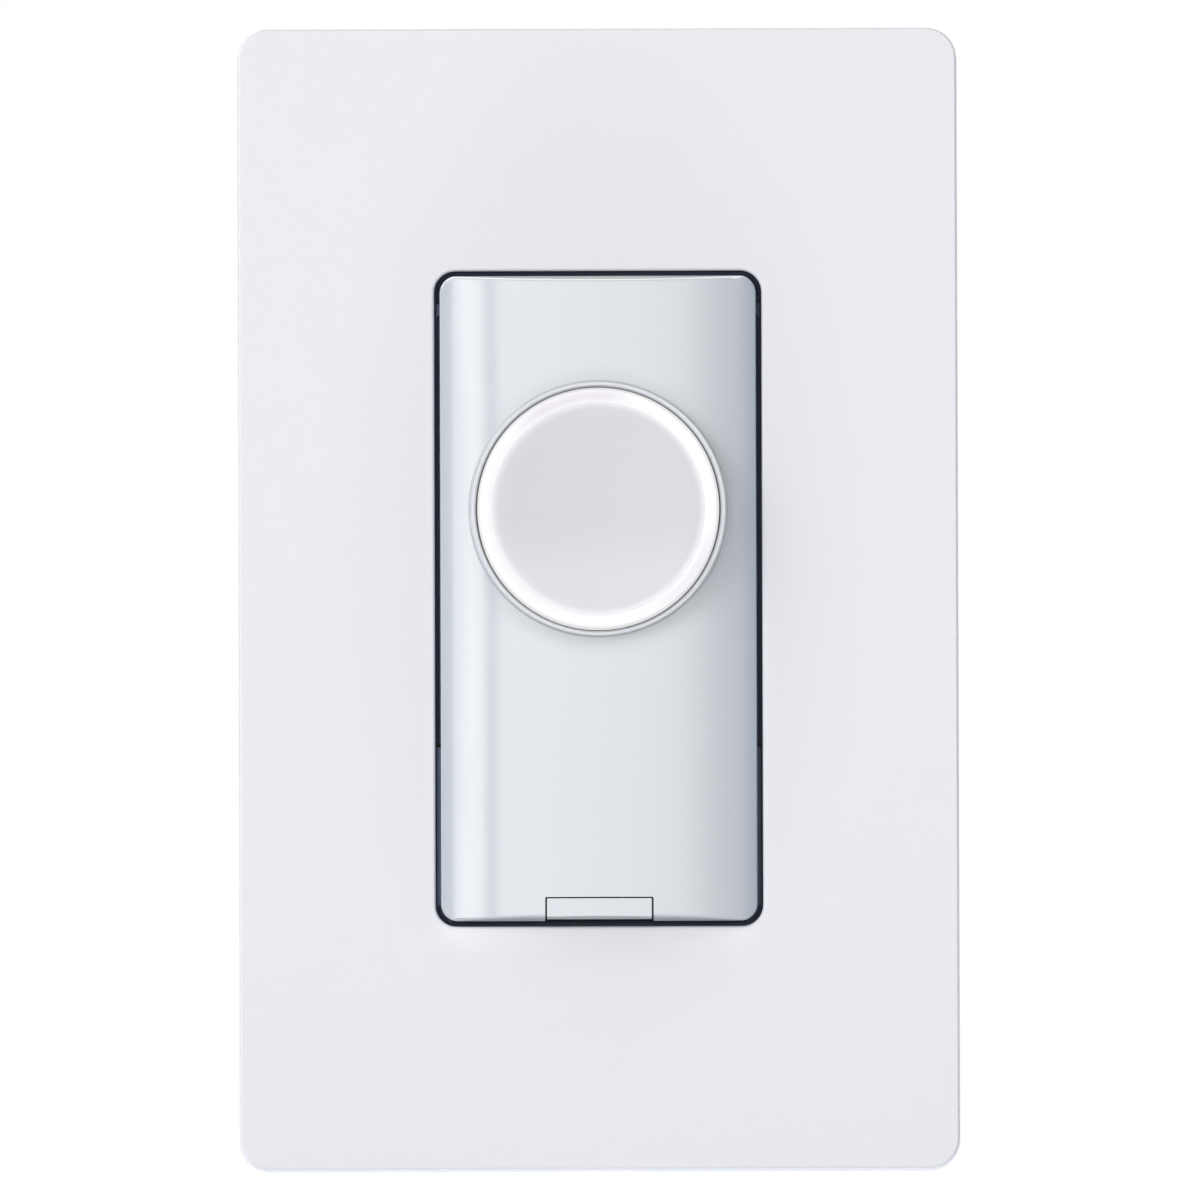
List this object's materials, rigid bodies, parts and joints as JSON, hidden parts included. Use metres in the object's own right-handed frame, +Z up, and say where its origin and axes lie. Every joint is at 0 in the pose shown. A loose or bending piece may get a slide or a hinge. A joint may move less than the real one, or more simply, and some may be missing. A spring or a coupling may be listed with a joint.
{
  "type": "smart light switch",
  "caption": "In-wall smart dimmer switch with a crowned white insert, a large round push button with a lit ring, a pull-out service tab and a screwless clip-on cover.",
  "frame": {"origin": "on the wall plane, midway between the two box screws, on the cover's middle", "axes": "+Z up the wall, +Y into the wall, +X to the right as one faces the switch"},
  "size_m": [0.0734, 0.0406, 0.1164],
  "materials": {
    "cover_white": "fine satin moulded surface, warm white",
    "insert_white": "polished, slightly crowned front",
    "cap_white": "soft satin touch face",
    "ring_light": "translucent diffuser, lit white",
    "guide_clear": "clear moulded acrylic",
    "sub_plate_grey": "dark grey moulded plate",
    "body_black": "black moulded body, fine spark texture",
    "frame_white": "natural white moulded inner frame",
    "zinc_steel": "zinc-plated sheet and screws",
    "ground_green": "green-dyed earth screw",
    "spring_steel": "bright spring wire",
    "brass": "stamped brass terminals and contacts",
    "board_green": "green solder mask over glass laminate",
    "board_blue": "dark blue solder mask",
    "shield_tin": "tinned shield",
    "chip_black": "moulded component packages",
    "led_yellow": "white LED package with yellow phosphor",
    "card_fibre": "pressed fibre card",
    "barrier_paper": "fish-paper insulator",
    "heat_aluminium": "bent aluminium strip",
    "core_ferrite": "dark sintered ferrite",
    "winding_tape": "yellow tape over the winding",
    "can_sleeve": "shrunk sleeve on the can",
    "film_box": "orange-brown box of the line capacitor",
    "varistor_blue": "dipped blue coating",
    "fuse_ceramic": "white ceramic tube with end caps"
  },
  "bodies": {
    "switch_body": {"wall_plate": "cover_white", "sub_plate": "sub_plate_grey", "sub_plate_screws": "zinc_steel", "mounting_yoke": "zinc_steel", "box_screws": "zinc_steel", "screw_retainers": "card_fibre", "ground_screw": "ground_green", "front_housing": "insert_white", "button_carrier": "frame_white", "light_guide": "guide_clear", "control_board": "board_green", "ring_leds": "led_yellow", "tact_switch": "chip_black", "radio_module": "board_blue", "radio_shield": "shield_tin", "control_chips": "chip_black", "board_screws": "zinc_steel", "gap_contacts": "brass", "rear_housing": "body_black", "terminal_plates": "brass", "pressure_plates": "brass", "terminal_screws": "brass", "housing_screws": "zinc_steel", "insulating_barrier": "barrier_paper", "power_board": "board_green", "fuse": "fuse_ceramic", "varistor": "varistor_blue", "line_inductor": "core_ferrite", "transformer_core": "core_ferrite", "transformer_bobbin": "winding_tape", "film_capacitor": "film_box", "bulk_capacitors": "can_sleeve", "header_base": "chip_black", "header_pins": "brass", "heat_spreader": "heat_aluminium", "triac": "chip_black"},
    "push_button": {"button_cap": "cap_white", "light_ring": "ring_light", "switch_stem": "frame_white", "return_spring": "spring_steel"},
    "service_tab": {"air_gap_tab": "insert_white", "contact_bridge": "brass"}
  },
  "joints": [
    {"name": "button_press", "type": "slide", "parent": "switch_body", "child": "push_button", "axis": [0, 1, 0], "range_m": [0, 0.0008], "stiffness_N_per_m": 400, "springref_m": -0.0015, "deforming": ["return_spring"]},
    {"name": "air_gap_pull", "type": "slide", "parent": "switch_body", "child": "service_tab", "axis": [0, -1, 0], "range_m": [0, 0.0032]}
  ]
}
